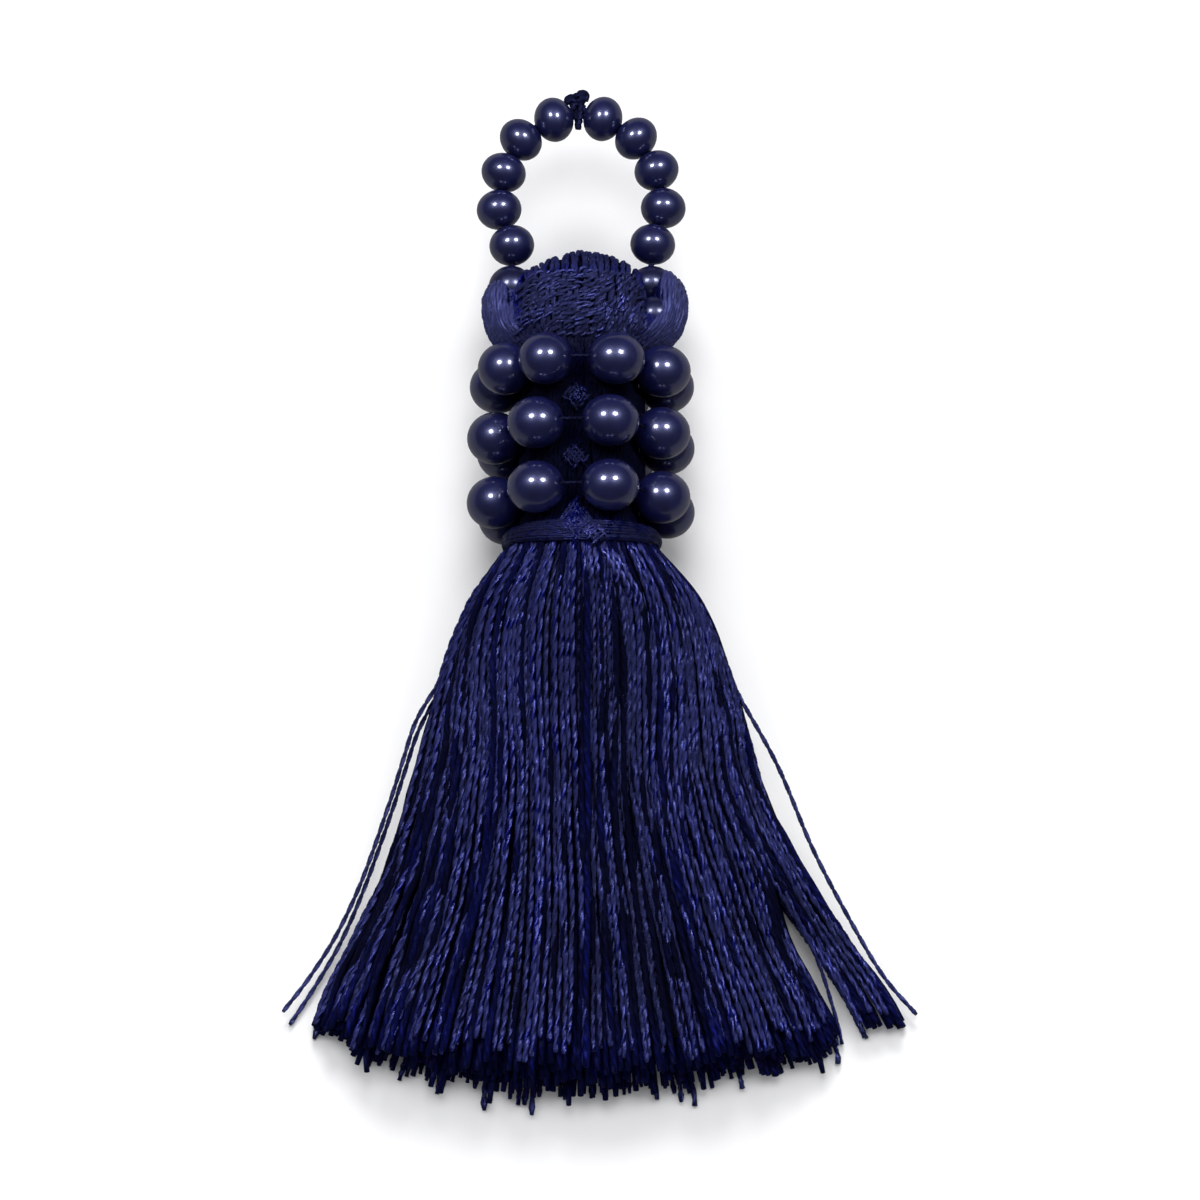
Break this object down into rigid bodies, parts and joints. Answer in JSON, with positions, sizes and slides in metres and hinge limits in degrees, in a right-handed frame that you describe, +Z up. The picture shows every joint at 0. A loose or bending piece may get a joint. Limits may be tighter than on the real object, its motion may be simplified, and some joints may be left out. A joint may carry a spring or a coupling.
{
  "type": "beaded tassel",
  "caption": "Navy yarn tassel lying flat, with a hanging loop of small beads, a knob head, rows of pearl beads round its neck and a flared skirt.",
  "frame": {"origin": "middle of the whole tassel's outline, on the surface it lies on", "axes": "+Y from the skirt's cut ends to the hanging loop, +Z up from the surface, +X across the tassel"},
  "size_m": [0.0572, 0.093, 0.0201],
  "materials": {
    "yarn": "twisted rayon yarn, deep navy with a silky sheen",
    "binding": "wound navy thread, satin",
    "bead": "dark navy pearl, glossy",
    "thread": "waxed dark stringing thread"
  },
  "bodies": {
    "root": {"yarn_hank": "yarn", "binding": "binding", "row1_bead_1": "bead", "row1_bead_2": "bead", "row1_bead_3": "bead", "row1_bead_4": "bead", "row1_bead_5": "bead", "row1_bead_6": "bead", "row1_bead_7": "bead", "row1_bead_8": "bead", "row2_bead_1": "bead", "row2_bead_2": "bead", "row2_bead_3": "bead", "row2_bead_4": "bead", "row2_bead_5": "bead", "row2_bead_6": "bead", "row2_bead_7": "bead", "row2_bead_8": "bead", "row3_bead_1": "bead", "row3_bead_2": "bead", "row3_bead_3": "bead", "row3_bead_4": "bead", "row3_bead_5": "bead", "row3_bead_6": "bead", "row3_bead_7": "bead", "row3_bead_8": "bead", "row1_thread": "thread", "row2_thread": "thread", "row3_thread": "thread", "loop_bead_l1": "bead", "loop_bead_l2": "bead", "loop_bead_l3": "bead", "loop_bead_l4": "bead", "loop_bead_l5": "bead", "loop_bead_l6": "bead", "loop_bead_r1": "bead", "loop_bead_r2": "bead", "loop_bead_r3": "bead", "loop_bead_r4": "bead", "loop_bead_r5": "bead", "loop_bead_r6": "bead", "loop_bead_r7": "bead", "loop_thread": "thread", "loop_knot": "thread", "stray_left_a": "yarn", "stray_left_b": "yarn", "stray_right": "yarn"}
  },
  "joints": []
}
